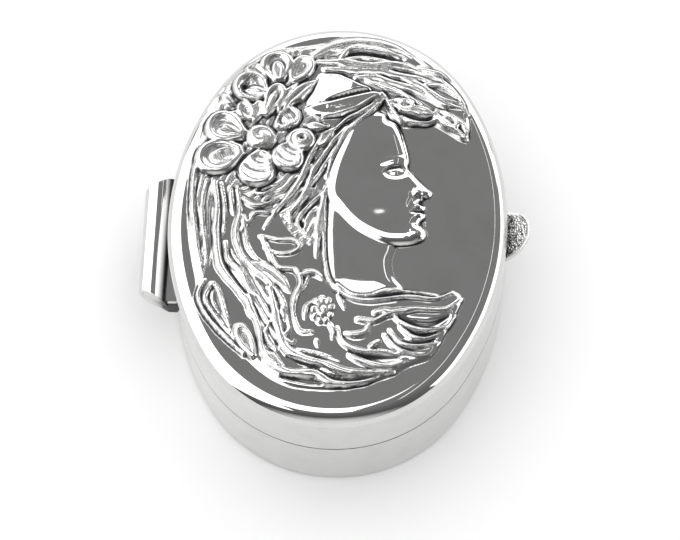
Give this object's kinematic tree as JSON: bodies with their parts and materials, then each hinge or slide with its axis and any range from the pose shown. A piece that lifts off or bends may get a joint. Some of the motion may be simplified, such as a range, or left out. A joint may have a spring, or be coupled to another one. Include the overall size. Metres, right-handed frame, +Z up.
{
  "type": "oval silver pill box",
  "caption": "Small oval silver pill box with a struck relief lid, a covered barrel hinge on one long side and a thumbpiece on the other.",
  "frame": {"origin": "centre of the oval on the underside, which rests on the table", "axes": "+X from the hinge to the thumbpiece, +Y along the oval towards the top of the figure, +Z up"},
  "size_m": [0.0324, 0.036, 0.0141],
  "materials": {
    "polished_silver": "mirror-polished sterling silver",
    "struck_silver": "struck silver, polished highs and darkened recesses",
    "brushed_silver": "soft satin silver",
    "filed_silver": "filed silver",
    "grained_silver": "grained top with a smooth rim",
    "pin_metal": "drawn wire"
  },
  "bodies": {
    "base": {"base_wall": "polished_silver", "floor_plate": "brushed_silver", "inner_bezel": "brushed_silver", "base_hinge_leaf": "polished_silver", "base_knuckle": "filed_silver"},
    "lid": {"lid_wall": "polished_silver", "lid_panel": "struck_silver", "lid_hinge_leaf": "polished_silver", "hinge_cover": "polished_silver", "lid_knuckle_front": "filed_silver", "lid_knuckle_back": "filed_silver", "hinge_pin": "pin_metal", "thumbpiece": "grained_silver"}
  },
  "joints": [
    {"name": "lid_hinge", "type": "hinge", "parent": "base", "child": "lid", "pos_m": [-0.0153, 0, 0.00684], "axis": [0, -1, 0], "range_deg": [0, 105]}
  ]
}
